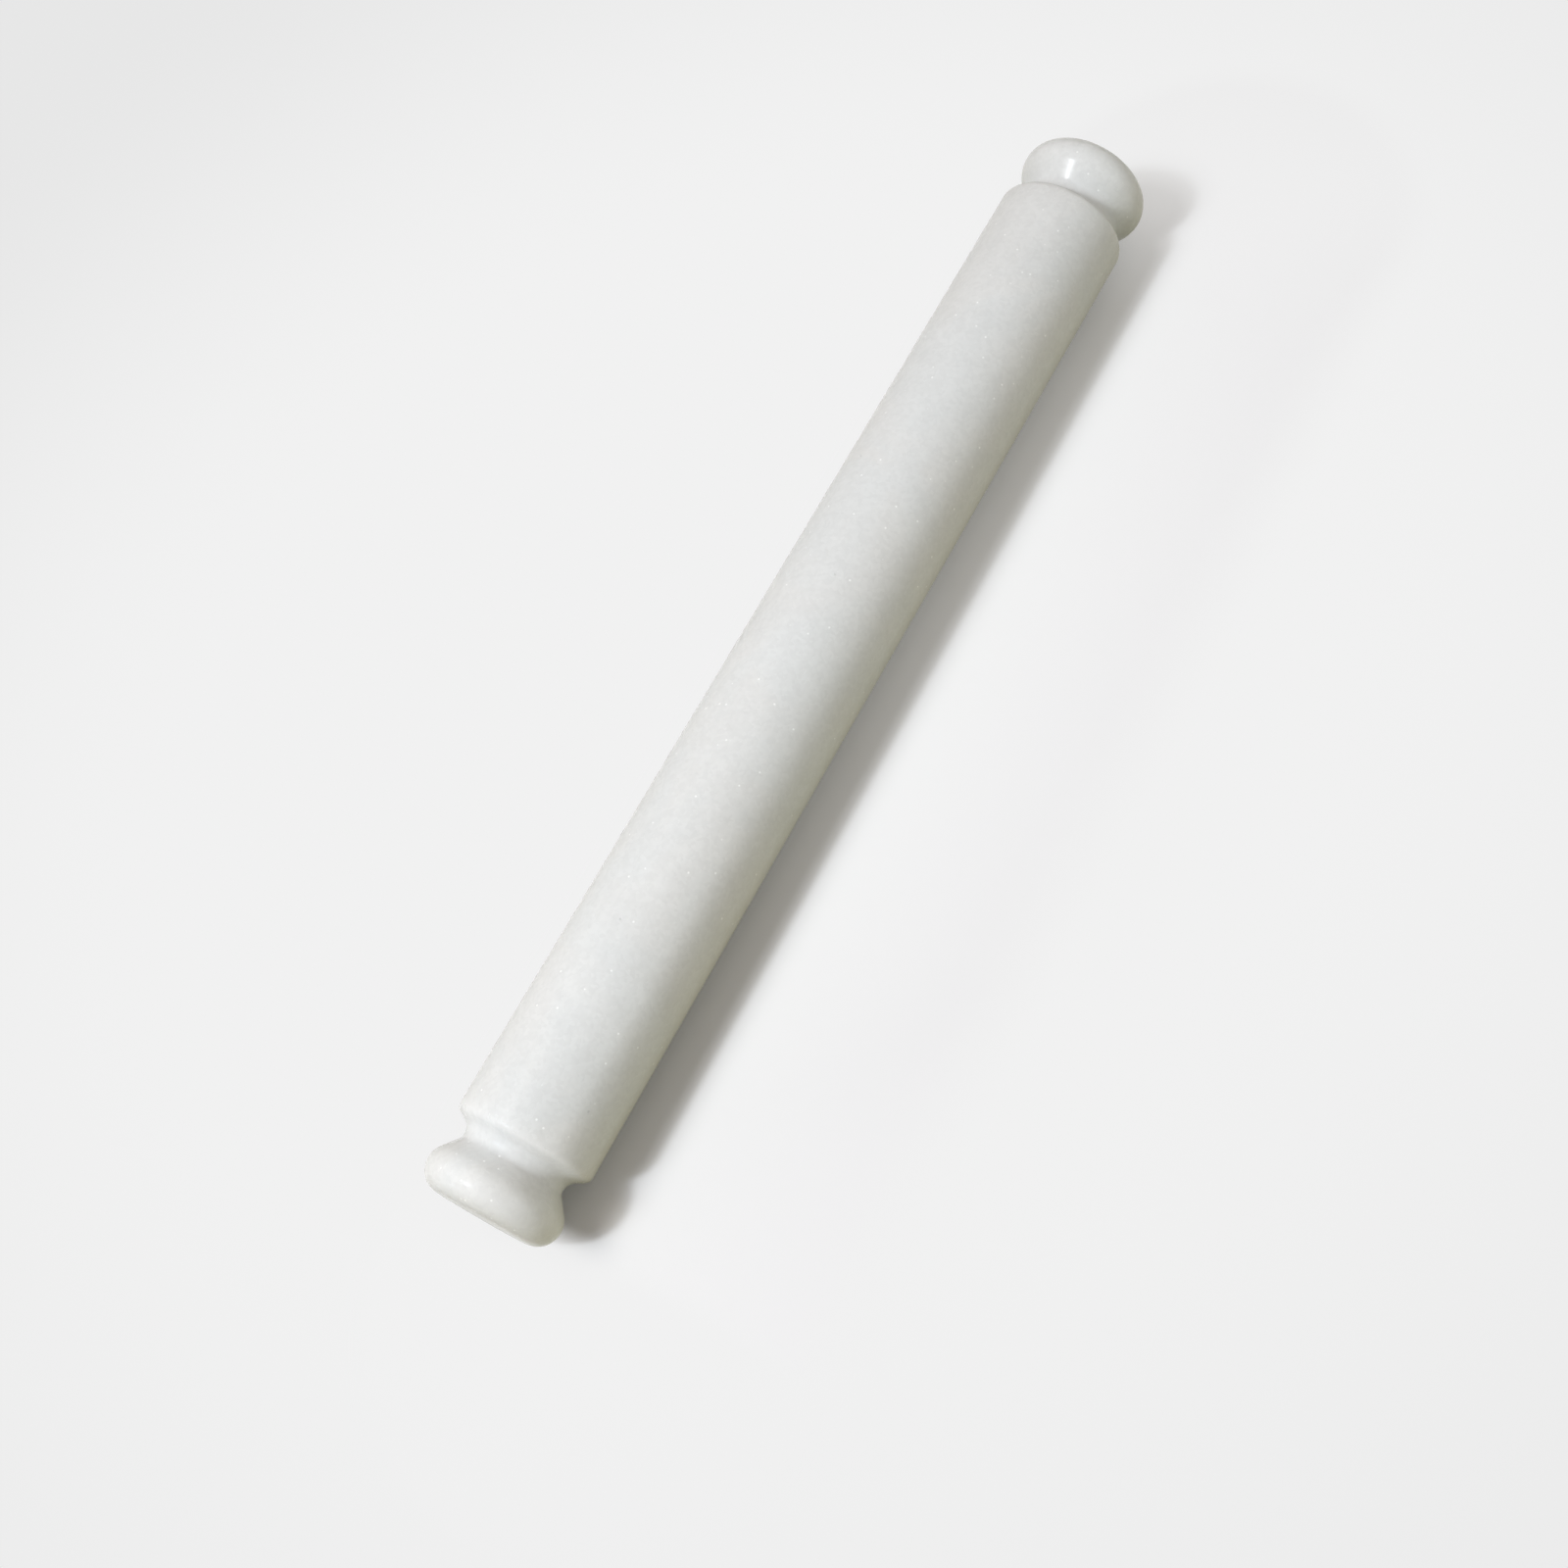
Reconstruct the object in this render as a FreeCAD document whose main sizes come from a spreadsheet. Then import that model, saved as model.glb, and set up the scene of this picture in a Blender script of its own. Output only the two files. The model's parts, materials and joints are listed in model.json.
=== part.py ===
"""Marble rolling pin: a bored barrel and two knobs of marble, bonded on a steel core rod.

The pin lies along X with its far end at +X. Z is up, and z = 0 is the surface that the barrel rests on.
Lengths are in millimetres and angles in degrees.
"""
import FreeCAD, Part
import math
import os
import Sketcher

# Driving dimensions, by piece
SIZES = {
    # barrel: the straight rolling surface
    "barrel_diameter": 46.0,
    "rolling_length": 362.0,
    # groove at each end of the barrel: rounded shoulder, straight flank, hollow cove
    "groove_depth": 5.9,
    "shoulder_radius": 3.0,
    "flank_angle": 60.0,
    "cove_radius": 4.5,
    # knob: hollow root, conical underside, rounded bead and flat end
    "knob_relief": 0.15,
    "root_radius": 3.0,
    "underside_angle": 38.0,
    "bead_radius": 7.6,
    # core rod and the bores that it is bonded into
    "rod_diameter": 10.0,
    "bond_gap": 0.2,
    "socket_depth": 11.5,
    "rod_end_gap": 0.5,
    "mouth_chamfer": 0.8,
    "rod_chamfer": 1.0,
    # grooves near the rod's ends, which key it into the resin
    "bond_groove_width": 1.2,
    "bond_groove_depth": 0.5,
    "bond_groove_pitch": 3.0,
    "bond_groove_count": 3,
    "bond_groove_inset": 2.0,
}

# Lengths worked out from the driving dimensions, as expressions on the sheet
BARREL_RADIUS = "(Sizes.barrel_diameter / 2)"
NECK_RADIUS = f"({BARREL_RADIUS} - Sizes.groove_depth)"
SHOULDER_AND_COVE = "(Sizes.shoulder_radius + Sizes.cove_radius)"
FLANK_DROP = f"(Sizes.groove_depth - {SHOULDER_AND_COVE} * (1 - cos(Sizes.flank_angle)))"
SHOULDER_LENGTH = f"({SHOULDER_AND_COVE} * sin(Sizes.flank_angle) + {FLANK_DROP} / tan(Sizes.flank_angle))"
HALF_ROLL = "(Sizes.rolling_length / 2)"
SEAT_PLACE = f"({HALF_ROLL} + {SHOULDER_LENGTH})"
KNOB_RADIUS = f"({BARREL_RADIUS} - Sizes.knob_relief)"
FACE_RADIUS = f"({KNOB_RADIUS} - Sizes.bead_radius)"
BORE_RADIUS = "(Sizes.rod_diameter / 2 + Sizes.bond_gap)"
ROD_RADIUS = "(Sizes.rod_diameter / 2)"
HALF_ROD = f"({SEAT_PLACE} + Sizes.socket_depth - Sizes.rod_end_gap)"
FULL_TURN = 360
HALF_TURN = 180

# Ends and centre of a sketch piece
START, END, CENTRE = 1, 2, 3
ORIGIN = -1

doc = FreeCAD.newDocument("RollingPin")
sheet = doc.addObject("Spreadsheet::Sheet", "Sizes")
for row, (alias, size) in enumerate(SIZES.items(), start=1):
    sheet.set(f"A{row}", alias)
    sheet.set(f"B{row}", str(size))
    sheet.setAlias(f"B{row}", alias)
doc.recompute()


def value(expression):
    """The number that an expression on the sheet gives."""
    return float(sheet.evalExpression(expression))


def point(x, y):
    return FreeCAD.Vector(x, y, 0)


def polar(centre, radius, angle):
    """The point of a circle at an angle counted from the sketch's own X axis."""
    turn = math.radians(angle)
    return centre + radius * point(math.cos(turn), math.sin(turn))


def arc(centre, radius, first_angle, last_angle):
    circle = Part.Circle(centre, FreeCAD.Vector(0, 0, 1), radius)
    return Part.ArcOfCircle(circle, math.radians(first_angle), math.radians(last_angle))


def origin_plane(body, role):
    return next(feature for feature in body.Origin.OriginFeatures if feature.Role == role)


def new_body(label):
    """A body on the pin's axis, one barrel radius above the table."""
    body = doc.addObject("PartDesign::Body", label)
    body.Label = label
    body.setExpression("Placement.Base.z", BARREL_RADIUS)
    return body


def new_sketch(body, name, role):
    sketch = body.newObject("Sketcher::SketchObject", name)
    sketch.AttachmentSupport = [(origin_plane(body, role), "")]
    sketch.MapMode = "FlatFace"
    return sketch


def dimension(sketch, name, expression, kind, *where):
    """Adds a dimension that follows the sheet."""
    size = value(expression)
    if kind == "Angle":
        size = math.radians(size)
    index = sketch.addConstraint(Sketcher.Constraint(kind, *where, size))
    sketch.renameConstraint(index, name)
    sketch.setExpression(f"Constraints.{name}", expression)


def closed_outline(sketch, pieces):
    """Joins pieces into a closed loop from the origin. Each is (geometry, its first end, its last end, smooth)."""
    for geometry, *_ in pieces:
        sketch.addGeometry(geometry, False)
    for index, (_, _, last_end, smooth) in enumerate(pieces):
        following = (index + 1) % len(pieces)
        kind = "Tangent" if smooth else "Coincident"
        sketch.addConstraint(Sketcher.Constraint(kind, index, last_end, following, pieces[following][1]))
    sketch.addConstraint(Sketcher.Constraint("Coincident", 0, START, ORIGIN, START))


def line(start, end, smooth=False):
    return (Part.LineSegment(start, end), START, END, smooth)


def clockwise(geometry, smooth=True):
    return (geometry, END, START, smooth)


def counter_clockwise(geometry, smooth=False):
    return (geometry, START, END, smooth)


def revolve(body, sketch, name, kind="PartDesign::Revolution"):
    """Turns a profile about the pin's axis."""
    turned = body.newObject(kind, name)
    turned.Profile = sketch
    turned.ReferenceAxis = (sketch, ["H_Axis"])
    turned.Angle = FULL_TURN
    doc.recompute()
    return turned


def round_section(body, name, radius):
    """A circle round the axis, on the body's own YZ plane."""
    sketch = new_sketch(body, name, "YZ_Plane")
    sketch.addGeometry(Part.Circle(point(0, 0), FreeCAD.Vector(0, 0, 1), value(radius)), False)
    sketch.addConstraint(Sketcher.Constraint("Coincident", 0, CENTRE, ORIGIN, START))
    dimension(sketch, "radius", radius, "Radius", 0)
    return sketch


def rims(feature, radius, place=None):
    """Names of the round edges of a radius, at one place along the axis where a place is given."""
    names = []
    for index, edge in enumerate(feature.Shape.Edges, start=1):
        if not isinstance(edge.Curve, Part.Circle):
            continue
        same_size = math.isclose(edge.Curve.Radius, radius, rel_tol=1e-6)
        same_place = place is None or math.isclose(edge.Curve.Center.x, place, abs_tol=1e-6)
        if same_size and same_place:
            names.append(f"Edge{index}")
    return names


def chamfer(body, name, feature, edges, size):
    cut = body.newObject("PartDesign::Chamfer", name)
    cut.Base = (feature, edges)
    cut.setExpression("Size", size)
    doc.recompute()
    return cut


def make_barrel():
    """Half of the barrel turned from its middle out, mirrored, and bored through for the rod."""
    body = new_body("barrel")
    angle = value("Sizes.flank_angle")
    shoulder = value("Sizes.shoulder_radius")
    cove = value("Sizes.cove_radius")
    radius = value(BARREL_RADIUS)
    neck = value(NECK_RADIUS)
    roll_end = value(HALF_ROLL)
    seat = value(SEAT_PLACE)
    shoulder_centre = point(roll_end, radius - shoulder)
    cove_centre = point(seat, neck + cove)
    flank_top = polar(shoulder_centre, shoulder, 90 - angle)
    flank_foot = polar(cove_centre, cove, 270 - angle)

    sketch = new_sketch(body, "barrel_profile", "XZ_Plane")
    closed_outline(sketch, [
        line(point(0, 0), point(0, radius)),
        line(point(0, radius), point(roll_end, radius), smooth=True),
        clockwise(arc(shoulder_centre, shoulder, 90 - angle, 90)),
        line(flank_top, flank_foot, smooth=True),
        counter_clockwise(arc(cove_centre, cove, 270 - angle, 270)),
        line(point(seat, neck), point(seat, 0)),
        line(point(seat, 0), point(0, 0)),
    ])
    middle, roll, shoulder_arc, flank, cove_arc, seat_face, axis = range(sketch.GeometryCount)
    for upright in (middle, seat_face):
        sketch.addConstraint(Sketcher.Constraint("Vertical", upright))
    for level in (roll, axis):
        sketch.addConstraint(Sketcher.Constraint("Horizontal", level))
    sketch.addConstraint(Sketcher.Constraint("Vertical", cove_arc, CENTRE, cove_arc, END))
    dimension(sketch, "radius", BARREL_RADIUS, "DistanceY", middle, START, middle, END)
    dimension(sketch, "half_roll", HALF_ROLL, "DistanceX", roll, START, roll, END)
    dimension(sketch, "shoulder", "Sizes.shoulder_radius", "Radius", shoulder_arc)
    dimension(sketch, "flank", "-Sizes.flank_angle", "Angle", flank)
    dimension(sketch, "cove", "Sizes.cove_radius", "Radius", cove_arc)
    dimension(sketch, "neck", NECK_RADIUS, "DistanceY", seat_face, END, seat_face, START)
    half = revolve(body, sketch, "half_barrel")

    whole = body.newObject("PartDesign::Mirrored", "both_ends")
    whole.Originals = [half]
    whole.MirrorPlane = (origin_plane(body, "YZ_Plane"), [""])
    body.Tip = whole
    doc.recompute()

    bore = body.newObject("PartDesign::Pocket", "rod_bore")
    bore.Profile = round_section(body, "bore_section", BORE_RADIUS)
    bore.Type = "ThroughAll"
    bore.SideType = "Symmetric"
    doc.recompute()
    chamfer(body, "bore_mouths", bore, rims(bore, value(BORE_RADIUS)), "Sizes.mouth_chamfer")
    return body


def make_knob(label, towards):
    """A knob turned from its seat on the neck out to its flat end. It faces +X or -X."""
    body = new_body(label)
    body.setExpression("Placement.Base.x", f"{towards} * {SEAT_PLACE}")
    body.Placement.Rotation = FreeCAD.Rotation(FreeCAD.Vector(0, 0, 1), 0 if towards > 0 else HALF_TURN)
    underside = value("Sizes.underside_angle")
    root = value("Sizes.root_radius")
    bead = value("Sizes.bead_radius")
    neck = value(NECK_RADIUS)
    top = value(KNOB_RADIUS)

    # the underside climbs from the root's arc until the bead's arc takes over
    slope = math.radians(underside)
    climb = top - neck - (root + bead) * (1 - math.cos(slope))
    root_centre = point(0, neck + root)
    bead_centre = point(climb / math.tan(slope) + (root + bead) * math.sin(slope), top - bead)
    underside_start = polar(root_centre, root, 270 + underside)
    underside_end = polar(bead_centre, bead, 90 + underside)
    face_rim = polar(bead_centre, bead, 0)

    sketch = new_sketch(body, f"{label}_profile", "XZ_Plane")
    closed_outline(sketch, [
        line(point(0, 0), point(0, neck)),
        counter_clockwise(arc(root_centre, root, 270, 270 + underside), smooth=True),
        line(underside_start, underside_end, smooth=True),
        clockwise(arc(bead_centre, bead, 0, 90 + underside)),
        line(face_rim, point(face_rim.x, 0)),
        line(point(face_rim.x, 0), point(0, 0)),
    ])
    seat, root_arc, cone, bead_arc, face, axis = range(sketch.GeometryCount)
    for upright in (seat, face):
        sketch.addConstraint(Sketcher.Constraint("Vertical", upright))
    sketch.addConstraint(Sketcher.Constraint("Horizontal", axis))
    sketch.addConstraint(Sketcher.Constraint("Vertical", root_arc, CENTRE, root_arc, START))
    dimension(sketch, "neck", NECK_RADIUS, "DistanceY", seat, START, seat, END)
    dimension(sketch, "root", "Sizes.root_radius", "Radius", root_arc)
    dimension(sketch, "underside", "Sizes.underside_angle", "Angle", cone)
    dimension(sketch, "bead", "Sizes.bead_radius", "Radius", bead_arc)
    dimension(sketch, "face", FACE_RADIUS, "DistanceY", face, END, face, START)
    revolve(body, sketch, f"{label}_turned")

    socket = body.newObject("PartDesign::Pocket", f"{label}_socket")
    socket.Profile = round_section(body, f"{label}_socket_section", BORE_RADIUS)
    socket.Type = "Length"
    socket.setExpression("Length", "Sizes.socket_depth")
    socket.Reversed = True
    doc.recompute()
    mouth = rims(socket, value(BORE_RADIUS), place=0)
    chamfer(body, f"{label}_mouth", socket, mouth, "Sizes.mouth_chamfer")
    return body


def make_core_rod():
    """A round bar that runs from socket to socket, with chamfered ends and grooves for the resin."""
    body = new_body("core_rod")
    bar = body.newObject("PartDesign::Pad", "bar")
    bar.Profile = round_section(body, "rod_section", ROD_RADIUS)
    bar.SideType = "Symmetric"
    bar.setExpression("Length", f"2 * {HALF_ROD}")
    doc.recompute()
    chamfer(body, "rod_ends", bar, rims(bar, value(ROD_RADIUS)), "Sizes.rod_chamfer")

    for name, towards in (("near", -1), ("far", 1)):
        sketch = new_sketch(body, f"{name}_bond_section", "XZ_Plane")
        outer = value(f"{HALF_ROD} - Sizes.bond_groove_inset")
        inner = outer - value("Sizes.bond_groove_width")
        floor = value(f"{ROD_RADIUS} - Sizes.bond_groove_depth")
        surface = value(BORE_RADIUS)
        corners = [(inner, floor), (outer, floor), (outer, surface), (inner, surface)]
        points = [point(towards * x, y) for x, y in corners]
        for start, end in zip(points, points[1:] + points[:1]):
            sketch.addGeometry(Part.LineSegment(start, end), False)
        sides = range(sketch.GeometryCount)
        for side in sides:
            sketch.addConstraint(Sketcher.Constraint("Coincident", side, END, (side + 1) % len(sides), START))
            sketch.addConstraint(Sketcher.Constraint("Vertical" if side % 2 else "Horizontal", side))
        floor_line, outer_line = sides[0], sides[1]
        dimension(sketch, "floor", f"{ROD_RADIUS} - Sizes.bond_groove_depth", "DistanceY",
                  ORIGIN, START, floor_line, START)
        dimension(sketch, "surface", BORE_RADIUS, "DistanceY", ORIGIN, START, outer_line, END)
        dimension(sketch, "width", f"{towards} * Sizes.bond_groove_width", "DistanceX",
                  floor_line, START, floor_line, END)
        dimension(sketch, "place", f"{towards} * ({HALF_ROD} - Sizes.bond_groove_inset)", "DistanceX",
                  ORIGIN, START, floor_line, END)
        groove = revolve(body, sketch, f"{name}_bond_groove", "PartDesign::Groove")

        row = body.newObject("PartDesign::LinearPattern", f"{name}_bond_grooves")
        row.Originals = [groove]
        row.Direction = (sketch, ["H_Axis"])
        row.Reversed = towards > 0
        row.setExpression("Length", "Sizes.bond_groove_pitch * (Sizes.bond_groove_count - 1)")
        row.setExpression("Occurrences", "Sizes.bond_groove_count")
        body.Tip = row
        doc.recompute()
    return body


def check(nodes):
    """Stops on a failed object, or a node that isn't one valid solid."""
    for item in doc.Objects:
        if {"Invalid", "Error"} & set(item.State):
            raise RuntimeError(f"{item.Name} failed: {item.State}")
    for node in nodes:
        shape = node.Shape
        if shape.isNull() or not shape.isValid() or len(shape.Solids) != 1:
            raise RuntimeError(f"{node.Label} is not one valid solid")


nodes = [make_barrel(), make_knob("near_knob", -1), make_knob("far_knob", 1), make_core_rod()]
doc.recompute()
check(nodes)

os.makedirs("parts", exist_ok=True)
for node in nodes:
    node.Shape.exportStep(f"parts/{node.Label}.step")
    box = node.Shape.optimalBoundingBox(False)
    print(f"{node.Label}: {node.Shape.Volume:.1f} mm3, x {box.XMin:.2f} to {box.XMax:.2f}, "
          f"z {box.ZMin:.2f} to {box.ZMax:.2f}")
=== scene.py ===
"""Marble rolling pin on a pale floor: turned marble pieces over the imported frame, with a steel rod inside."""
import json
import math

import bmesh
import bpy
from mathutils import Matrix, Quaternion, Vector


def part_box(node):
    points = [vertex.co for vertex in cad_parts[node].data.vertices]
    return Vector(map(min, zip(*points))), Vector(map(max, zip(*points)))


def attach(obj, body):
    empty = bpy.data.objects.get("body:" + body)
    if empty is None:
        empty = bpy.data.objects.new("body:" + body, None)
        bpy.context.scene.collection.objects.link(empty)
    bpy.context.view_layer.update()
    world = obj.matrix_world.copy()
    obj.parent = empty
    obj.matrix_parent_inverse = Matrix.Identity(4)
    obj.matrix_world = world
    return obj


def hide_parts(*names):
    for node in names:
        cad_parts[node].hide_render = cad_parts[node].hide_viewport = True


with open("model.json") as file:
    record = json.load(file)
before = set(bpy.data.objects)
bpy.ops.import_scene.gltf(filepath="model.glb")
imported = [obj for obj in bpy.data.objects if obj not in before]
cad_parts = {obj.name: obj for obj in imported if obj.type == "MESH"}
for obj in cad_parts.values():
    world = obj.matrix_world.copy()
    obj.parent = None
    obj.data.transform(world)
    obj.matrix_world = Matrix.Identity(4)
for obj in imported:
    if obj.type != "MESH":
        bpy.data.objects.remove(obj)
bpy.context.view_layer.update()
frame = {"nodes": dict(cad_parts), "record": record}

MM = 0.001

# Sizes of the pin, from the record's mount and the frame: axis, seat between neck and knob, ends
ROLLING = next(mount for mount in frame["record"]["mounts"] if mount["name"] == "barrel_surface")
AXIS_HEIGHT = ROLLING["pos_m"][2]
BARREL_RADIUS = ROLLING["dims"]["r_mm"] * MM
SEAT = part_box("barrel")[1].x
PIN_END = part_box("far_knob")[1].x
ROD_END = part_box("core_rod")[1].x

# Turned profile
GROOVE_DEPTH = 5.9 * MM
SHOULDER_RADIUS = 3.0 * MM
FLANK_ANGLE = 60.0
COVE_RADIUS = 4.5 * MM
KNOB_RELIEF = 0.15 * MM
ROOT_RADIUS = 3.0 * MM
UNDERSIDE_ANGLE = 38.0
BEAD_RADIUS = 7.6 * MM
NECK_RADIUS = BARREL_RADIUS - GROOVE_DEPTH
KNOB_RADIUS = BARREL_RADIUS - KNOB_RELIEF

# Bores for the rod
ROD_RADIUS = 5.0 * MM
BOND_GAP = 0.2 * MM
MOUTH_CHAMFER = 0.8 * MM
ROD_END_GAP = 0.5 * MM
BORE_RADIUS = ROD_RADIUS + BOND_GAP
SOCKET_END = ROD_END + ROD_END_GAP

# Fineness of the turned meshes, and the angle between faces from which an edge stays crisp
SIDES = 288
ARC_STEP = 3.0
BARREL_STEP = 4.0 * MM
CRISP_ANGLE = 30.0

# Camera of the photograph: aimed at a point of the floor and turned about its own line of sight
VIEW_AZIMUTH = -29.096
VIEW_ELEVATION = 54.681
VIEW_ROLL = -35.567
VIEW_DISTANCE = 666.86 * MM
VIEW_AIM = Vector((-38.60, -1.55, 0.0)) * MM
SENSOR_WIDTH = 36.0
LENS = 46.46

# Lights: a gridded softbox up on the left with a small bright core, a weak one close over the near end,
# two weak fills, and an even sky
OPEN_SPREAD = 180.0
KEY_PLACE = Vector((-1.50, 0.642, 2.54))
KEY_AIM = Vector((-0.20, 0.0, 0.023))
KEY_SIZE = 1.10
KEY_SPREAD = 60.0
KEY_POWER = 3.99
CORE_SIZE = 0.32
CORE_POWER = 2.66
KEY_COLOUR = (0.88, 0.93, 0.99)
FILL_PLACE = Vector((0.0, -1.5, 0.6))
FILL_SIZE = 0.8
FILL_POWER = 6.1
FILL_COLOUR = (0.885, 0.95, 1.0)
TOP_PLACE = Vector((-0.22, 0.18, 0.70))
TOP_SIZE = 0.3
TOP_POWER = 1.25
TOP_COLOUR = (1.0, 0.952, 0.873)
BACK_PLACE = Vector((1.4, -0.2, 0.7))
BACK_SIZE = 0.8
BACK_POWER = 1.5
BACK_COLOUR = (0.87, 1.0, 0.93)
SKY_COLOUR = (0.264, 0.2215, 0.193)

# Floor: pale as seen, a darker tan in what it throws back on the pin, and painted darker towards the near end
# where the key light falls stronger. A glow of painted light lifts the shadow towards both ends. Away from the
# shadow the paper is an even glow, with painted shade a little darker towards the edges of the view
FLOOR_SIZE = 12.0
FLOOR_ROUGHNESS = 0.9
FLOOR_SPECULAR = 0.1
# The ramp from FLOOR_NEAR_COLOUR to FLOOR_FAR_COLOUR is painted shade that evens out the key light, which falls
# stronger towards the near end
FLOOR_NEAR = -0.2
FLOOR_FAR = 0.150
FLOOR_TILT = (1.0, 1.2, 0.0)
FLOOR_NEAR_COLOUR = (0.812, 0.818, 0.828)
FLOOR_FAR_COLOUR = (0.955, 0.965, 0.980)
BOUNCE_COLOUR = (0.221, 0.198, 0.043)
# The pale glow is painted light where it lifts the floor's shadow: a little along the pin, more beyond the far
# end, most past the near knob
PALE_GLOW_COLOUR = (0.88, 0.88, 0.88)
SHADOW_LIFT_START = -0.14
SHADOW_LIFT_END = 0.06
SHADOW_LIFT_MOST = 0.11
FAR_SHADOW_LIFT_START = 0.16
FAR_SHADOW_LIFT_END = 0.25
FAR_SHADOW_LIFT_MOST = 0.55
NEAR_SHADOW_LIFT_START = -0.1945
NEAR_SHADOW_LIFT_END = -0.2055
NEAR_SHADOW_LIFT_MOST = 0.9
SHADOW_MIDDLE = -0.035
CLEAR_START = 0.050
CLEAR_END = 0.085
# Painted shade: the floor's glow runs from the pale glow to EDGE_COLOUR towards the edges of the view
EDGE_COLOUR = (0.80, 0.80, 0.80)
EDGE_MIDDLE = (-0.01, 0.06, 0.0)
EDGE_START = 0.20
EDGE_END = 0.55

# Marble: mean colours, pattern scales in features per metre, and each pattern's share of the tone.
# A spot's size is a part of its cell, and KEPT is the part of the cells that have a spot
MARBLE_COOL = (0.742, 0.761, 0.764)
MARBLE_WARM = (0.753, 0.763, 0.760)
MARBLE_ROUGHNESS = 0.17
MARBLE_IOR = 1.52
MARBLE_SPECULAR = 0.09
SUBSURFACE_RADIUS = (1.0, 1.0, 1.0)
SUBSURFACE_SCALE = 12.0 * MM
SEAM_REACH = 10.5 * MM
CLOUD_SCALE = 42.0
CLOUD_SHARE = 0.07
HUE_SCALE = CLOUD_SCALE * 0.6
HUE_LOW = 0.35
HUE_HIGH = 0.65
MOTTLE_SCALE = 230.0
MOTTLE_SHARE = 0.08
CRYSTAL_SCALE = 820.0
CRYSTAL_SHARE = 0.05
# Sparkles are painted glints: white specks in the base colour where crystal faces catch the light
SPARKLE_SCALE = 230.0
SPARKLE_SIZE = 0.11
SPARKLE_KEPT = 0.7
SPARKLE_SHARE = 0.26
GRAIN_SCALE = 520.0
GRAIN_SIZE = 0.13
GRAIN_KEPT = 0.6
GRAIN_SHARE = 0.05
# Pits are painted darker in the base colour, painted shade in them, over the dents that PIT_DEPTH bumps in
PIT_SCALE = 70.0
PIT_SIZE = 0.035
PIT_KEPT = 0.8
PIT_SHARE = -0.10
PIT_DEPTH = 0.15 * MM
WAVE_SCALE = 55.0
WAVE_HEIGHT = 0.2 * MM
POLISH_SCALE = 240.0
POLISH_HEIGHT = 0.015 * MM
RIM_WIDTH = 3.0 * MM
NICK_SCALE = 650.0
NICK_LOW = 0.62
NICK_HIGH = 0.70
NICK_DEPTH = 0.10 * MM
NICK_SHARE = 0.05
SPOT_CORE = 0.4
NOISE_ROUGHNESS = 0.55

# What the patterns add to the marble's roughness, over a floor a little under the mean
DULL_DROP = 0.06
MOTTLE_DULL = 0.08
CRYSTAL_DULL = 0.05
NICK_DULL = 0.25

# Drawn steel: streaks along the rod over faint stains
STEEL_DARK = (0.50, 0.50, 0.49)
STEEL_LIGHT = (0.64, 0.64, 0.63)
STREAK_STRETCH = (12.0, 1400.0, 1400.0)
STREAK_DEPTH = 0.01 * MM
STREAK_PART = 0.7
STAIN_SCALE = 90.0
STAIN_PART = 0.3
WORN_LOW = 0.3
WORN_HIGH = 0.7
STEEL_DULL = 0.44
STEEL_BRIGHT = 0.28


def arc(centre, radius, first, last):
    """Points of an arc in (along, out), its angles counted from the pin's axis in degrees."""
    steps = max(2, math.ceil(abs(last - first) / ARC_STEP))
    turns = [math.radians(first + (last - first) * step / steps) for step in range(steps + 1)]
    return [(centre[0] + radius * math.cos(t), centre[1] + radius * math.sin(t)) for t in turns]


def run(start, end, step):
    """Evenly spaced points of a straight stretch, both ends included."""
    count = max(1, round(abs(end[0] - start[0]) / step))
    return [tuple(a + (b - a) * i / count for a, b in zip(start, end)) for i in range(count + 1)]


def shoulder_and_cove():
    """Outline of the barrel's far end, from the rolling surface to the neck's seat."""
    turn = math.radians(FLANK_ANGLE)
    both = SHOULDER_RADIUS + COVE_RADIUS
    drop = GROOVE_DEPTH - both * (1 - math.cos(turn))
    length = both * math.sin(turn) + drop / math.tan(turn)
    shoulder_centre = (SEAT - length, BARREL_RADIUS - SHOULDER_RADIUS)
    shoulder = arc(shoulder_centre, SHOULDER_RADIUS, 90, 90 - FLANK_ANGLE)
    cove = arc((SEAT, NECK_RADIUS + COVE_RADIUS), COVE_RADIUS, 270 - FLANK_ANGLE, 270)
    return shoulder + cove


def barrel_outline():
    """Closed outline of the bored barrel."""
    end = shoulder_and_cove() + [
        (SEAT, BORE_RADIUS + MOUTH_CHAMFER),
        (SEAT - MOUTH_CHAMFER, BORE_RADIUS),
    ]
    near_end = [(-along, out) for along, out in reversed(end)]
    rolling = run(near_end[-1], end[0], BARREL_STEP)
    return near_end + rolling[1:-1] + end


def knob_outline(towards):
    """Outline of a knob and its blind socket, from the socket's bottom to the end face. It faces +X or -X."""
    root = arc((SEAT, NECK_RADIUS + ROOT_RADIUS), ROOT_RADIUS, 270, 270 + UNDERSIDE_ANGLE)
    bead = arc((PIN_END - BEAD_RADIUS, KNOB_RADIUS - BEAD_RADIUS), BEAD_RADIUS, 90 + UNDERSIDE_ANGLE, 0)
    outline = [
        (SOCKET_END, 0.0),
        (SOCKET_END, BORE_RADIUS),
        (SEAT + MOUTH_CHAMFER, BORE_RADIUS),
        (SEAT, BORE_RADIUS + MOUTH_CHAMFER),
        *root,
        *bead,
        (PIN_END, 0.0),
    ]
    return [(towards * along, out) for along, out in outline]


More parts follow.
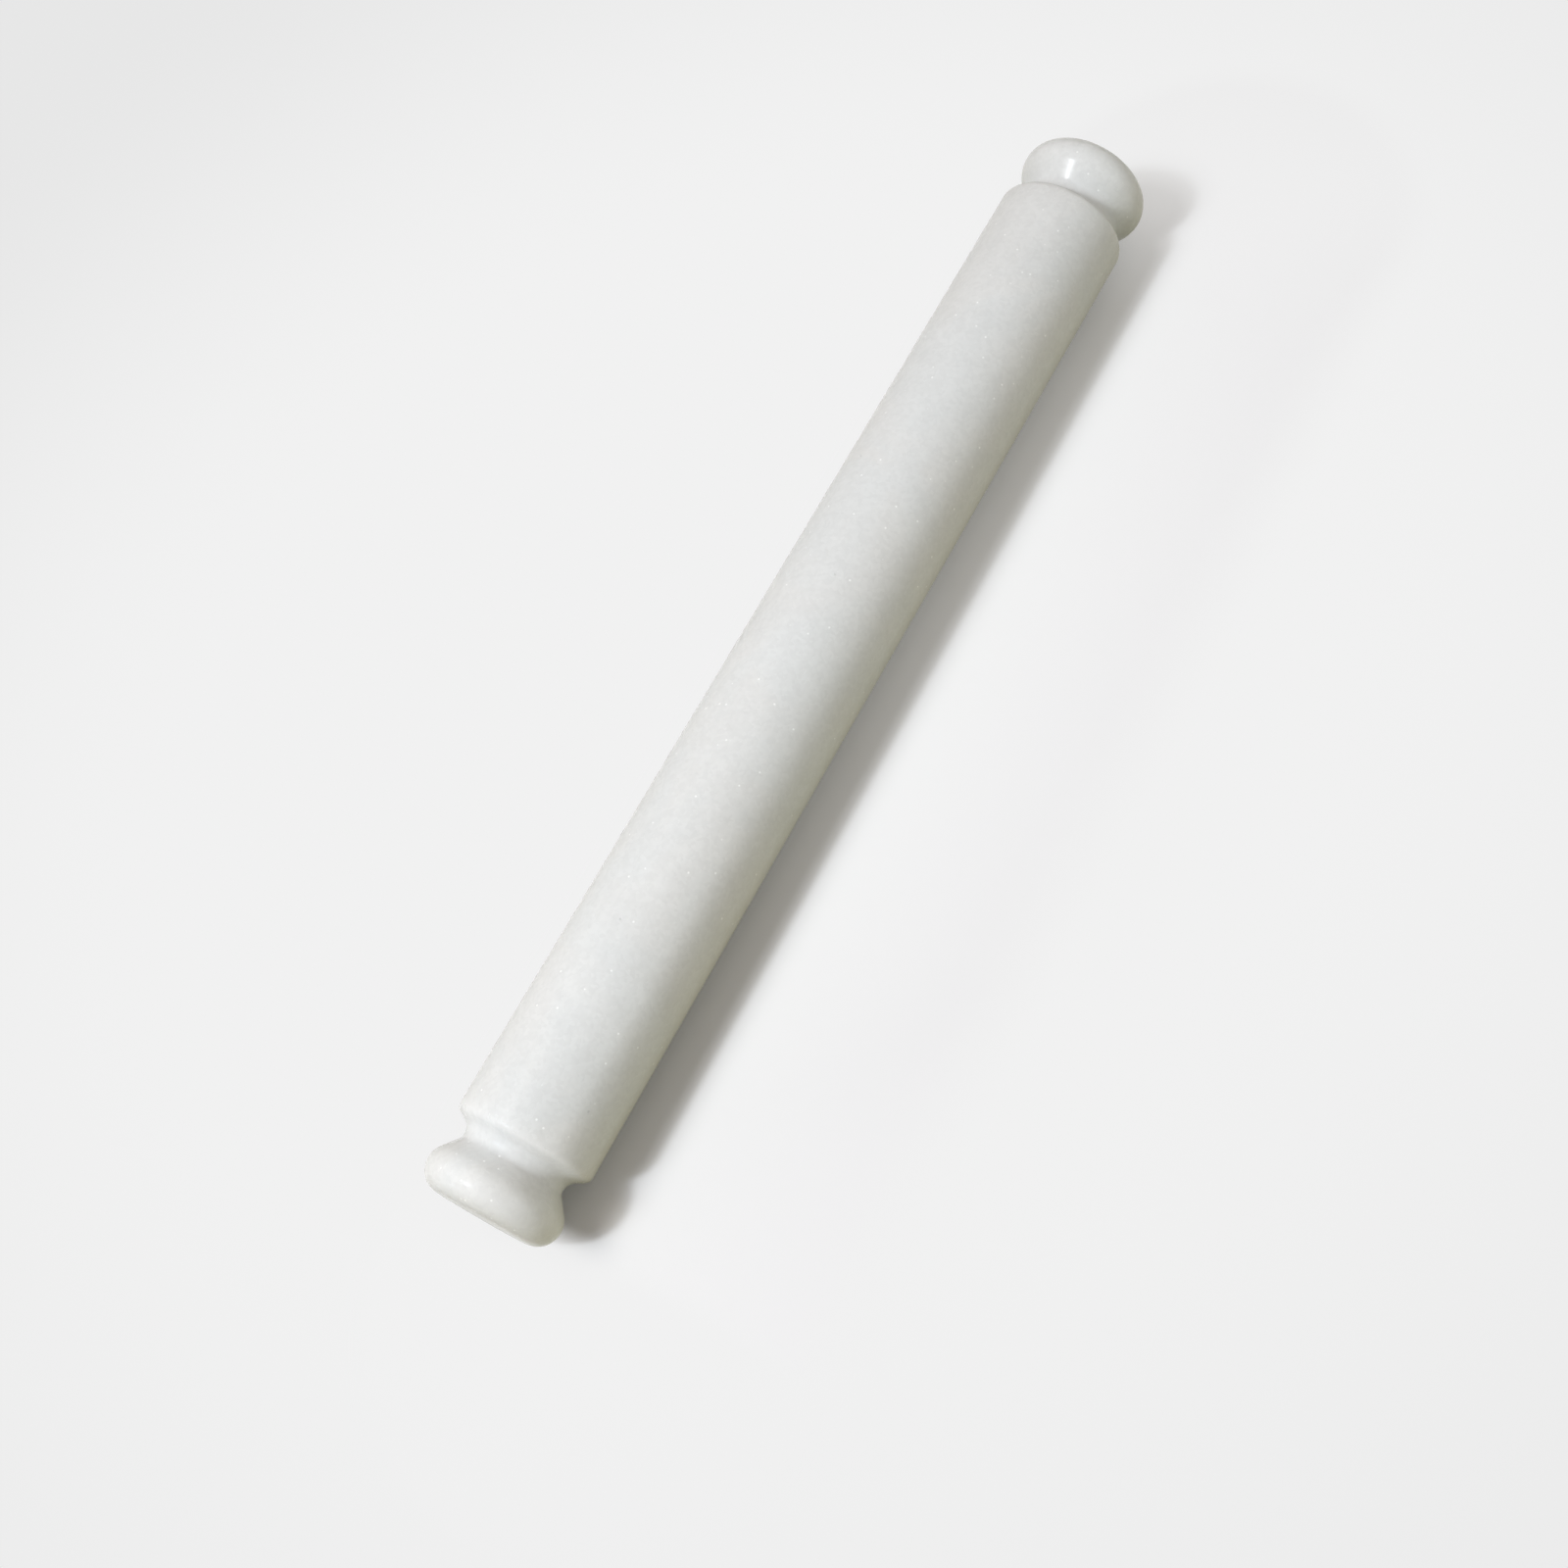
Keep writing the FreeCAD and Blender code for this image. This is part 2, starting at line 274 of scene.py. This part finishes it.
def turned(name, outline, closed, material):
    """A mesh turned about the pin's axis, with crisp flat faces. It replaces the node of the same name."""
    mesh = bmesh.new()
    rings = []
    for along, out in outline:
        if out == 0.0:
            rings.append([mesh.verts.new((along, 0.0, AXIS_HEIGHT))] * SIDES)
            continue
        turns = [2 * math.pi * side / SIDES for side in range(SIDES)]
        rings.append([
            mesh.verts.new((along, out * math.sin(t), AXIS_HEIGHT + out * math.cos(t))) for t in turns
        ])
    pairs = list(zip(rings, rings[1:])) + ([(rings[-1], rings[0])] if closed else [])
    for ring, following in pairs:
        for side in range(SIDES):
            after = (side + 1) % SIDES
            corners = [ring[side], ring[after], following[after], following[side]]
            mesh.faces.new(list(dict.fromkeys(corners))).smooth = True
    bmesh.ops.recalc_face_normals(mesh, faces=mesh.faces)
    data = bpy.data.meshes.new(name)
    mesh.to_mesh(data)
    mesh.free()
    data.set_sharp_from_angle(angle=math.radians(CRISP_ANGLE))
    data.materials.append(material)
    piece = bpy.data.objects.new(f"{name}_marble", data)
    bpy.context.scene.collection.objects.link(piece)
    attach(piece, "root")
    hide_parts(name)


def new_material(name):
    """A node material with only its Principled shader and output."""
    material = bpy.data.materials.new(name)
    material.use_nodes = True
    tree = material.node_tree
    return material, tree, tree.nodes["Principled BSDF"]


def add(tree, kind, inputs, **settings):
    """A new node. An input that is a socket is linked, any other is set."""
    made = tree.nodes.new(kind)
    for name, value in settings.items():
        setattr(made, name, value)
    for name, value in inputs.items():
        if isinstance(value, bpy.types.NodeSocket):
            tree.links.new(value, made.inputs[name])
        else:
            made.inputs[name].default_value = value
    return made


def noise(tree, place, scale, detail, distortion=0.0):
    """A cloudy pattern between 0 and 1."""
    made = add(tree, "ShaderNodeTexNoise", {
        "Vector": place, "Scale": scale, "Detail": detail,
        "Roughness": NOISE_ROUGHNESS, "Distortion": distortion,
    })
    return made.outputs[0]


def calculate(tree, operation, first, second):
    """A Math node's result on two values, each a socket or a number."""
    made = add(tree, "ShaderNodeMath", {}, operation=operation)
    for socket, value in zip(made.inputs, (first, second)):
        if isinstance(value, bpy.types.NodeSocket):
            tree.links.new(value, socket)
        else:
            socket.default_value = value
    return made.outputs[0]


def spread(tree, value, low, high, to_low=0.0, to_high=1.0):
    """A value's stretch from low to high, mapped smoothly and held at both ends."""
    made = add(tree, "ShaderNodeMapRange", {
        "Value": value, "From Min": low, "From Max": high, "To Min": to_low, "To Max": to_high,
    }, interpolation_type="SMOOTHSTEP")
    return made.outputs["Result"]


def blend_colour(tree, factor, first, second):
    """The first colour at factor 0, the second at 1."""
    made = add(tree, "ShaderNodeMix", {"Factor": factor, "A": first, "B": second}, data_type="RGBA")
    return made.outputs["Result"]


def dots(tree, place, scale, size, kept):
    """Round spots scattered through the stone: 1 inside a spot, 0 outside. A part of the cells has one."""
    cells = add(tree, "ShaderNodeTexVoronoi", {"Vector": place, "Scale": scale})
    chance = add(tree, "ShaderNodeSeparateColor", {"Color": cells.outputs["Color"]}).outputs["Red"]
    near = spread(tree, cells.outputs["Distance"], size * SPOT_CORE, size, 1.0, 0.0)
    return calculate(tree, "MULTIPLY", near, calculate(tree, "LESS_THAN", chance, kept))


def share(tree, total, value, amount):
    """Adds a part of a pattern to a running total."""
    return calculate(tree, "ADD", total, calculate(tree, "MULTIPLY", value, amount))


def bump(tree, height, distance, below=None):
    """The normal of a relief, laid over the one below where that is given."""
    inputs = {"Height": height, "Distance": distance, "Strength": 1.0}
    if below is not None:
        inputs["Normal"] = below
    return add(tree, "ShaderNodeBump", inputs).outputs["Normal"]


def from_middle(tree, place):
    """How far along the pin a point is from the pin's middle."""
    along = add(tree, "ShaderNodeSeparateXYZ", {"Vector": place}).outputs["X"]
    return calculate(tree, "ABSOLUTE", along, 0.0)


def shoulder_rims(tree, reach):
    """1 on the rounded rims between the rolling surface and the necks, 0 elsewhere."""
    rim = shoulder_and_cove()[0][0]
    rise = spread(tree, reach, rim - RIM_WIDTH / 2, rim)
    fall = spread(tree, reach, rim + RIM_WIDTH, rim + RIM_WIDTH * 1.5, 1.0, 0.0)
    return calculate(tree, "MULTIPLY", rise, fall)


def marble_material():
    """Fine-grained white marble: cloudy tone, crystals, sparkles painted as glints, a few pits painted darker,
    and small nicks on the rims.
    """
    material, tree, shader = new_material("white_marble")
    place = add(tree, "ShaderNodeTexCoord", {}).outputs["Object"]
    clouds = noise(tree, place, CLOUD_SCALE, 3.0, 0.6)
    mottle = noise(tree, place, MOTTLE_SCALE, 4.0, 0.3)
    cells = add(tree, "ShaderNodeTexVoronoi", {"Vector": place, "Scale": CRYSTAL_SCALE})
    crystal = add(tree, "ShaderNodeSeparateColor", {"Color": cells.outputs["Color"]})
    # Sparkles: painted glints of crystal faces, lighter spots in the base colour
    sparkles = dots(tree, place, SPARKLE_SCALE, SPARKLE_SIZE, SPARKLE_KEPT)
    grains = dots(tree, place, GRAIN_SCALE, GRAIN_SIZE, GRAIN_KEPT)
    # Pits: painted shade, darker in the base colour over a bumped dent
    pits = dots(tree, place, PIT_SCALE, PIT_SIZE, PIT_KEPT)
    chips = spread(tree, noise(tree, place, NICK_SCALE, 2.0), NICK_LOW, NICK_HIGH)
    reach = from_middle(tree, place)
    nicks = calculate(tree, "MULTIPLY", chips, shoulder_rims(tree, reach))

    tone = 1.0 - (CLOUD_SHARE + MOTTLE_SHARE + CRYSTAL_SHARE) / 2
    for pattern, amount in (
        (clouds, CLOUD_SHARE),
        (mottle, MOTTLE_SHARE),
        (crystal.outputs["Green"], CRYSTAL_SHARE),
        (sparkles, SPARKLE_SHARE),
        (grains, GRAIN_SHARE),
        (pits, PIT_SHARE),
        (nicks, NICK_SHARE),
    ):
        tone = share(tree, tone, pattern, amount)
    warmth = spread(tree, noise(tree, place, HUE_SCALE, 2.0, 0.8), HUE_LOW, HUE_HIGH)
    hue = blend_colour(tree, warmth, (*MARBLE_COOL, 1.0), (*MARBLE_WARM, 1.0))
    paint = add(tree, "ShaderNodeVectorMath", {0: hue, 1: tone}, operation="MULTIPLY").outputs["Vector"]
    tree.links.new(paint, shader.inputs["Base Color"])

    dullness = share(tree, MARBLE_ROUGHNESS - DULL_DROP, mottle, MOTTLE_DULL)
    dullness = share(tree, dullness, crystal.outputs["Blue"], CRYSTAL_DULL)
    dullness = share(tree, dullness, nicks, NICK_DULL)
    tree.links.new(dullness, shader.inputs["Roughness"])

    normal = bump(tree, noise(tree, place, WAVE_SCALE, 2.0), WAVE_HEIGHT)
    normal = bump(tree, noise(tree, place, POLISH_SCALE, 2.0), POLISH_HEIGHT, normal)
    normal = bump(tree, calculate(tree, "MULTIPLY", pits, -1.0), PIT_DEPTH, normal)
    normal = bump(tree, calculate(tree, "MULTIPLY", nicks, -1.0), NICK_DEPTH, normal)
    tree.links.new(normal, shader.inputs["Normal"])

    shader.inputs["IOR"].default_value = MARBLE_IOR
    shader.inputs["Specular IOR Level"].default_value = MARBLE_SPECULAR
    shader.inputs["Subsurface Weight"].default_value = 1.0
    shader.inputs["Subsurface Radius"].default_value = SUBSURFACE_RADIUS
    from_seam = calculate(tree, "ABSOLUTE", calculate(tree, "SUBTRACT", reach, SEAT), 0.0)
    depth = add(tree, "ShaderNodeMapRange", {
        "Value": from_seam, "From Max": SEAM_REACH, "To Max": SUBSURFACE_SCALE,
    })
    tree.links.new(depth.outputs["Result"], shader.inputs["Subsurface Scale"])
    return material


def steel_material():
    """Drawn stainless bar: fine streaks along the rod, and faint stains."""
    material, tree, shader = new_material("drawn_steel")
    place = add(tree, "ShaderNodeTexCoord", {}).outputs["Object"]
    drawn = add(tree, "ShaderNodeVectorMath", {0: place, 1: STREAK_STRETCH}, operation="MULTIPLY")
    streaks = noise(tree, drawn.outputs["Vector"], 1.0, 4.0)
    stains = noise(tree, place, STAIN_SCALE, 3.0, 0.5)
    worn = share(tree, calculate(tree, "MULTIPLY", streaks, STREAK_PART), stains, STAIN_PART)
    level = spread(tree, worn, WORN_LOW, WORN_HIGH)
    colour = blend_colour(tree, level, (*STEEL_DARK, 1.0), (*STEEL_LIGHT, 1.0))
    tree.links.new(colour, shader.inputs["Base Color"])
    dullness = spread(tree, worn, WORN_LOW, WORN_HIGH, STEEL_DULL, STEEL_BRIGHT)
    tree.links.new(dullness, shader.inputs["Roughness"])
    tree.links.new(bump(tree, streaks, STREAK_DEPTH), shader.inputs["Normal"])
    shader.inputs["Metallic"].default_value = 1.0
    return material


def seen_directly(tree):
    """1 for what the eye, a mirror or glass sees, 0 for the light that is thrown on other surfaces."""
    ray = add(tree, "ShaderNodeLightPath", {}).outputs
    seen = calculate(tree, "ADD", ray["Is Camera Ray"], ray["Is Glossy Ray"])
    return calculate(tree, "MINIMUM", calculate(tree, "ADD", seen, ray["Is Transmission Ray"]), 1.0)


def floor_material():
    """Pale paper to the eye and to mirrors. What it throws back on the pin is darker and warmer."""
    material, tree, shader = new_material("floor_paper")
    place = add(tree, "ShaderNodeTexCoord", {}).outputs["Object"]
    axes = add(tree, "ShaderNodeSeparateXYZ", {"Vector": place}).outputs
    along = axes["X"]
    seen = seen_directly(tree)
    # Painted shade: the paper's colour runs darker towards the near end, where the key light falls stronger,
    # and towards -Y, so the lit paper looks even
    slope = add(tree, "ShaderNodeVectorMath", {0: place, 1: FLOOR_TILT}, operation="DOT_PRODUCT")
    ramp = add(tree, "ShaderNodeMapRange", {
        "Value": slope.outputs["Value"], "From Min": FLOOR_NEAR, "From Max": FLOOR_FAR,
    })
    near, far = (*FLOOR_NEAR_COLOUR, 1.0), (*FLOOR_FAR_COLOUR, 1.0)
    pale = blend_colour(tree, ramp.outputs["Result"], near, far)
    colour = blend_colour(tree, seen, (*BOUNCE_COLOUR, 1.0), pale)
    tree.links.new(colour, shader.inputs["Base Color"])
    shader.inputs["Roughness"].default_value = FLOOR_ROUGHNESS
    shader.inputs["Specular IOR Level"].default_value = FLOOR_SPECULAR
    # Painted light: the glow is mixed over the shadow to lift it, more towards the far end and past the near
    # end; away from the shadow it is an even backdrop
    glow_share = spread(tree, along, SHADOW_LIFT_START, SHADOW_LIFT_END, 0.0, SHADOW_LIFT_MOST)
    far_shadow_lift = spread(tree, along, FAR_SHADOW_LIFT_START, FAR_SHADOW_LIFT_END, 0.0, FAR_SHADOW_LIFT_MOST)
    near_shadow_lift = spread(tree, along, NEAR_SHADOW_LIFT_END, NEAR_SHADOW_LIFT_START, NEAR_SHADOW_LIFT_MOST, 0.0)
    beyond = calculate(tree, "SUBTRACT", calculate(tree, "ABSOLUTE", along, 0.0), PIN_END)
    beyond = calculate(tree, "MAXIMUM", beyond, 0.0)
    aside = calculate(tree, "SUBTRACT", axes["Y"], SHADOW_MIDDLE)
    gap = add(tree, "ShaderNodeCombineXYZ", {"X": beyond, "Y": aside}).outputs["Vector"]
    away = add(tree, "ShaderNodeVectorMath", {0: gap}, operation="LENGTH").outputs["Value"]
    clear = spread(tree, away, CLEAR_START, CLEAR_END)
    clear = calculate(tree, "MAXIMUM", clear, near_shadow_lift)
    glow_share = calculate(tree, "MAXIMUM", calculate(tree, "ADD", glow_share, far_shadow_lift), clear)
    glow_share = calculate(tree, "MULTIPLY", glow_share, seen)
    # Painted shade: the glow gets darker towards the edges of the view
    outward = add(tree, "ShaderNodeVectorMath", {0: place, 1: EDGE_MIDDLE}, operation="DISTANCE")
    edge = spread(tree, outward.outputs["Value"], EDGE_START, EDGE_END)
    paper = blend_colour(tree, edge, (*PALE_GLOW_COLOUR, 1.0), (*EDGE_COLOUR, 1.0))
    glow = add(tree, "ShaderNodeEmission", {"Color": paper})
    both = add(tree, "ShaderNodeMixShader", {"Fac": glow_share, 1: shader.outputs[0], 2: glow.outputs[0]})
    tree.links.new(both.outputs[0], tree.nodes["Material Output"].inputs["Surface"])
    return material


def make_floor():
    """One large sheet of paper under the pin."""
    half = FLOOR_SIZE / 2
    data = bpy.data.meshes.new("floor")
    corners = [(-half, -half, 0), (half, -half, 0), (half, half, 0), (-half, half, 0)]
    data.from_pydata(corners, [], [(0, 1, 2, 3)])
    data.materials.append(floor_material())
    floor = bpy.data.objects.new("floor", data)
    bpy.context.scene.collection.objects.link(floor)


def softbox(name, place, aim, size, spread_angle, power, colour):
    """A round area light that faces a point."""
    lamp = bpy.data.lights.new(name, "AREA")
    lamp.shape = "DISK"
    lamp.size = size
    lamp.spread = math.radians(spread_angle)
    lamp.energy = power
    lamp.color = colour
    light = bpy.data.objects.new(name, lamp)
    light.location = place
    light.rotation_euler = (aim - place).to_track_quat("-Z", "Y").to_euler()
    bpy.context.scene.collection.objects.link(light)


def make_lights():
    """The lamps, and a world that lights the pin as SKY_COLOUR and is seen as pale as the paper's edge."""
    middle = Vector((0.0, 0.0, AXIS_HEIGHT))
    softbox("key", KEY_PLACE, KEY_AIM, KEY_SIZE, KEY_SPREAD, KEY_POWER, KEY_COLOUR)
    softbox("core", KEY_PLACE, KEY_AIM, CORE_SIZE, KEY_SPREAD, CORE_POWER, KEY_COLOUR)
    softbox("top", TOP_PLACE, KEY_AIM, TOP_SIZE, OPEN_SPREAD, TOP_POWER, TOP_COLOUR)
    softbox("fill", FILL_PLACE, middle, FILL_SIZE, OPEN_SPREAD, FILL_POWER, FILL_COLOUR)
    softbox("back", BACK_PLACE, middle, BACK_SIZE, OPEN_SPREAD, BACK_POWER, BACK_COLOUR)
    world = bpy.data.worlds.new("studio")
    world.use_nodes = True
    tree = world.node_tree
    colour = blend_colour(tree, seen_directly(tree), (*SKY_COLOUR, 1.0), (*EDGE_COLOUR, 1.0))
    tree.links.new(colour, tree.nodes["Background"].inputs["Color"])
    bpy.context.scene.world = world


def make_camera():
    """The photograph's view."""
    azimuth = math.radians(VIEW_AZIMUTH)
    elevation = math.radians(VIEW_ELEVATION)
    level = math.cos(elevation)
    back = Vector((math.sin(azimuth) * level, -math.cos(azimuth) * level, math.sin(elevation)))
    lens = bpy.data.cameras.new("camera")
    lens.sensor_width = SENSOR_WIDTH
    lens.lens = LENS
    camera = bpy.data.objects.new("camera", lens)
    camera.location = VIEW_AIM + back * VIEW_DISTANCE
    upright = (-back).to_track_quat("-Z", "Y")
    rolled = Quaternion((0, 0, 1), math.radians(VIEW_ROLL))
    camera.rotation_euler = (upright @ rolled).to_euler()
    bpy.context.scene.collection.objects.link(camera)
    bpy.context.scene.camera = camera


marble = marble_material()
turned("barrel", barrel_outline(), True, marble)
turned("near_knob", knob_outline(-1), False, marble)
turned("far_knob", knob_outline(1), False, marble)
rod = frame["nodes"]["core_rod"]
rod.data.materials.clear()
rod.data.materials.append(steel_material())
make_floor()
make_lights()
make_camera()
bpy.context.scene.view_settings.view_transform = "Standard"
